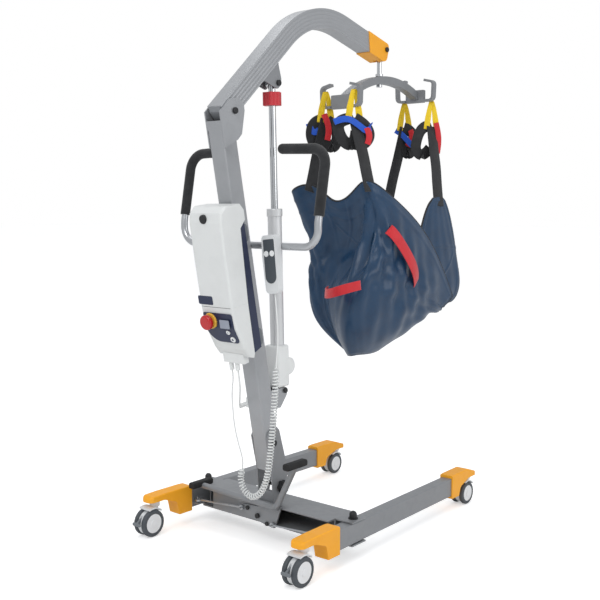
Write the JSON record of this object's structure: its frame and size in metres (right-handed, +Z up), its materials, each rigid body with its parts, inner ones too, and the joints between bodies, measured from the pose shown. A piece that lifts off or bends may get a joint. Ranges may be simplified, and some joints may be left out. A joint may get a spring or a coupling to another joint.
{
  "type": "patient lift hoist",
  "caption": "Mobile patient lift hoist: spreading legs on braked casters, leaning mast, bent boom on an electric actuator, arched spreader bar and padded seat sling.",
  "frame": {"origin": "middle of the overall footprint, on the floor under the wheels", "axes": "+Z up, +Y the way the boom and the legs' open ends point, +X the hoist's right as seen from behind the push handle"},
  "size_m": [0.7736, 1.4514, 1.9293],
  "materials": {
    "base_paint": "smooth powder coat",
    "aluminium_tube": "satin anodised, finely grooved along its length",
    "orange_plastic": "fine moulded grain",
    "light_plastic": "fine moulded grain",
    "navy_plastic": "satin",
    "grey_plastic": "satin",
    "white_plastic": "satin",
    "black_plastic": "satin",
    "rubber_pad": "ribbed",
    "foam": "closed cell foam",
    "bright_steel": "zinc plated",
    "chrome_rod": "polished",
    "tyre_grey": "smooth tread",
    "stop_red": "smooth",
    "circuit_board": "solder mask",
    "cord_white": "smooth sheath",
    "nylon": "woven, padded and quilted"
  },
  "bodies": {
    "base": {"cross_member": "base_paint", "mast_bracket": "base_paint", "base_bolts": "black_plastic"},
    "pedal": {"pedal_lever": "base_paint", "pedal_pads": "rubber_pad", "rocker_bolts": "black_plastic"},
    "leg_left": {"leg_tube_left": "base_paint", "rear_cap_left": "orange_plastic", "front_cap_left": "orange_plastic"},
    "caster_rear_left": {"caster_hood_rear_left": "grey_plastic"},
    "wheels_rear_left": {"caster_wheels_rear_left": "tyre_grey"},
    "brake_left": {"brake_pedal_rear_left": "grey_plastic"},
    "caster_front_left": {"caster_hood_front_left": "grey_plastic"},
    "wheels_front_left": {"caster_wheels_front_left": "tyre_grey"},
    "rod_left": {"tie_rod_left": "bright_steel"},
    "leg_right": {"leg_tube_right": "base_paint", "rear_cap_right": "orange_plastic", "front_cap_right": "orange_plastic"},
    "caster_rear_right": {"caster_hood_rear_right": "grey_plastic"},
    "wheels_rear_right": {"caster_wheels_rear_right": "tyre_grey"},
    "brake_right": {"brake_pedal_rear_right": "grey_plastic"},
    "caster_front_right": {"caster_hood_front_right": "grey_plastic"},
    "wheels_front_right": {"caster_wheels_front_right": "tyre_grey"},
    "rod_right": {"tie_rod_right": "bright_steel"},
    "mast": {"mast_tube": "aluminium_tube", "mast_bolts": "black_plastic", "push_handle": "bright_steel", "handle_grips": "foam", "control_backplate": "navy_plastic", "control_clamps": "grey_plastic", "control_case": "light_plastic", "control_board": "circuit_board", "control_panel": "navy_plastic", "handset_case": "grey_plastic", "handset_cord": "cord_white", "handset_curl": "cord_white", "actuator_cable": "cord_white", "cable_plugs": "cord_white"},
    "knob": {"lock_knob": "black_plastic"},
    "battery": {"battery_case": "light_plastic", "battery_pack": "black_plastic"},
    "battery_button": {"battery_button": "black_plastic"},
    "stop_button": {"stop_button": "stop_red"},
    "panel_button_upper": {"panel_button_upper": "white_plastic"},
    "panel_button_lower": {"panel_button_lower": "white_plastic"},
    "handset_button_up": {"handset_button_up": "white_plastic"},
    "handset_button_down": {"handset_button_down": "white_plastic"},
    "boom": {"boom_tube": "aluminium_tube", "boom_bracket": "base_paint", "boom_bolts": "black_plastic", "boom_end_caps": "orange_plastic"},
    "actuator": {"actuator_tube": "aluminium_tube", "motor_case": "white_plastic", "actuator_drive": "bright_steel"},
    "rod": {"actuator_rod": "chrome_rod"},
    "hand_knob": {"rod_knob": "stop_red"},
    "hanger": {"hanger_stem": "chrome_rod"},
    "spreader": {"spreader_bar": "base_paint", "spreader_hooks": "base_paint", "sling": "nylon"}
  },
  "joints": [
    {"name": "pedal_rock", "type": "hinge", "parent": "base", "child": "pedal", "pos_m": [-0.015, -0.43045, 0.091], "axis": [0, 1, 0], "range_deg": [0, 25]},
    {"name": "leg_left_open", "type": "hinge", "parent": "base", "child": "leg_left", "pos_m": [-0.352, -0.35445, 0.1], "axis": [0, 0, 1], "range_deg": [0, 10.05]},
    {"name": "swivel_rear_left", "type": "hinge", "parent": "leg_left", "child": "caster_rear_left", "pos_m": [-0.3568, -0.62941, 0.126], "axis": [0, 0, 1], "continuous": true},
    {"name": "roll_rear_left", "type": "hinge", "parent": "caster_rear_left", "child": "wheels_rear_left", "pos_m": [-0.3568, -0.65741, 0.05], "axis": [1, 0, 0], "continuous": true},
    {"name": "brake_left", "type": "hinge", "parent": "caster_rear_left", "child": "brake_left", "pos_m": [-0.3568, -0.69341, 0.066], "axis": [1, 0, 0], "range_deg": [0, 12]},
    {"name": "swivel_front_left", "type": "hinge", "parent": "leg_left", "child": "caster_front_left", "pos_m": [-0.33814, 0.43943, 0.108], "axis": [0, 0, 1], "continuous": true},
    {"name": "roll_front_left", "type": "hinge", "parent": "caster_front_left", "child": "wheels_front_left", "pos_m": [-0.33814, 0.41143, 0.045], "axis": [1, 0, 0], "continuous": true},
    {"name": "tie_rod_left_swing", "type": "hinge", "parent": "pedal", "child": "rod_left", "pos_m": [-0.09, -0.44495, 0.108], "axis": [0, 1, 0], "range_deg": [-33.3, 0]},
    {"name": "leg_right_open", "type": "hinge", "parent": "base", "child": "leg_right", "pos_m": [0.352, -0.35445, 0.1], "axis": [0, 0, -1], "range_deg": [0, 10.05]},
    {"name": "swivel_rear_right", "type": "hinge", "parent": "leg_right", "child": "caster_rear_right", "pos_m": [0.3568, -0.62941, 0.126], "axis": [0, 0, 1], "continuous": true},
    {"name": "roll_rear_right", "type": "hinge", "parent": "caster_rear_right", "child": "wheels_rear_right", "pos_m": [0.3568, -0.65741, 0.05], "axis": [1, 0, 0], "continuous": true},
    {"name": "brake_right", "type": "hinge", "parent": "caster_rear_right", "child": "brake_right", "pos_m": [0.3568, -0.69341, 0.066], "axis": [1, 0, 0], "range_deg": [0, 12]},
    {"name": "swivel_front_right", "type": "hinge", "parent": "leg_right", "child": "caster_front_right", "pos_m": [0.33814, 0.43943, 0.108], "axis": [0, 0, 1], "continuous": true},
    {"name": "roll_front_right", "type": "hinge", "parent": "caster_front_right", "child": "wheels_front_right", "pos_m": [0.33814, 0.41143, 0.045], "axis": [1, 0, 0], "continuous": true},
    {"name": "tie_rod_right_swing", "type": "hinge", "parent": "pedal", "child": "rod_right", "pos_m": [0.06, -0.44495, 0.074], "axis": [0, 1, 0], "range_deg": [-32.4, 0]},
    {"name": "mast_fold", "type": "hinge", "parent": "base", "child": "mast", "pos_m": [0, -0.40965, 0.3631], "axis": [-1, 0, 0], "range_deg": [0, 40]},
    {"name": "lock_knob_turn", "type": "hinge", "parent": "base", "child": "knob", "pos_m": [0, -0.36845, 0.196], "axis": [1, 0, 0], "continuous": true},
    {"name": "battery_lift", "type": "slide", "parent": "mast", "child": "battery", "axis": [0, -0.1908, 0.9816], "range_m": [0, 0.1]},
    {"name": "battery_button_press", "type": "slide", "parent": "battery", "child": "battery_button", "axis": [0, 0.9816, 0.1908], "range_m": [0, 0.003], "stiffness_N_per_m": 600, "springref_m": -0.001},
    {"name": "stop_button_press", "type": "slide", "parent": "mast", "child": "stop_button", "axis": [0, 0.9816, 0.1908], "range_m": [0, 0.0035], "stiffness_N_per_m": 800, "springref_m": -0.001},
    {"name": "panel_button_upper_press", "type": "slide", "parent": "mast", "child": "panel_button_upper", "axis": [0, 0.866, 0.5], "range_m": [0, 0.0012], "stiffness_N_per_m": 500, "springref_m": -0.001},
    {"name": "panel_button_lower_press", "type": "slide", "parent": "mast", "child": "panel_button_lower", "axis": [0, 0.866, 0.5], "range_m": [0, 0.0012], "stiffness_N_per_m": 500, "springref_m": -0.001},
    {"name": "handset_up_press", "type": "slide", "parent": "mast", "child": "handset_button_up", "axis": [0, 1, 0], "range_m": [0, 0.001], "stiffness_N_per_m": 500, "springref_m": -0.001},
    {"name": "handset_down_press", "type": "slide", "parent": "mast", "child": "handset_button_down", "axis": [0, 1, 0], "range_m": [0, 0.001], "stiffness_N_per_m": 500, "springref_m": -0.001},
    {"name": "boom_lift", "type": "hinge", "parent": "mast", "child": "boom", "pos_m": [0, -0.59844, 1.52299], "axis": [1, 0, 0], "range_deg": [-60, 3], "deforming": ["sling"]},
    {"name": "actuator_swing", "type": "hinge", "parent": "mast", "child": "actuator", "pos_m": [0, -0.34045, 0.544], "axis": [1, 0, 0], "range_deg": [-0.3, 2]},
    {"name": "rod_extend", "type": "slide", "parent": "actuator", "child": "rod", "axis": [0, -0.0284, 0.9996], "range_m": [-0.2575, 0.0145]},
    {"name": "rod_knob_turn", "type": "hinge", "parent": "rod", "child": "hand_knob", "pos_m": [0, -0.36993, 1.58158], "axis": [0, -0.0284, 0.9996], "continuous": true},
    {"name": "hanger_swing", "type": "hinge", "parent": "boom", "child": "hanger", "pos_m": [0, 0.28215, 1.82675], "axis": [1, 0, 0], "range_deg": [-3.5, 60.5]},
    {"name": "spreader_swivel", "type": "hinge", "parent": "hanger", "child": "spreader", "pos_m": [0, 0.28215, 1.82675], "axis": [0, 0, 1], "continuous": true}
  ],
  "couplings": [
    {"joint": "leg_left_open", "follows": "pedal_rock", "ratio": 0.4},
    {"joint": "tie_rod_left_swing", "follows": "pedal_rock", "ratio": -1.306},
    {"joint": "leg_right_open", "follows": "pedal_rock", "ratio": 0.4},
    {"joint": "tie_rod_right_swing", "follows": "pedal_rock", "ratio": -1.2707},
    {"joint": "actuator_swing", "follows": "boom_lift", "ratio": -0.02695},
    {"joint": "rod_extend", "follows": "boom_lift", "m_per_rad": 0.24032},
    {"joint": "hanger_swing", "follows": "boom_lift", "ratio": -1}
  ]
}
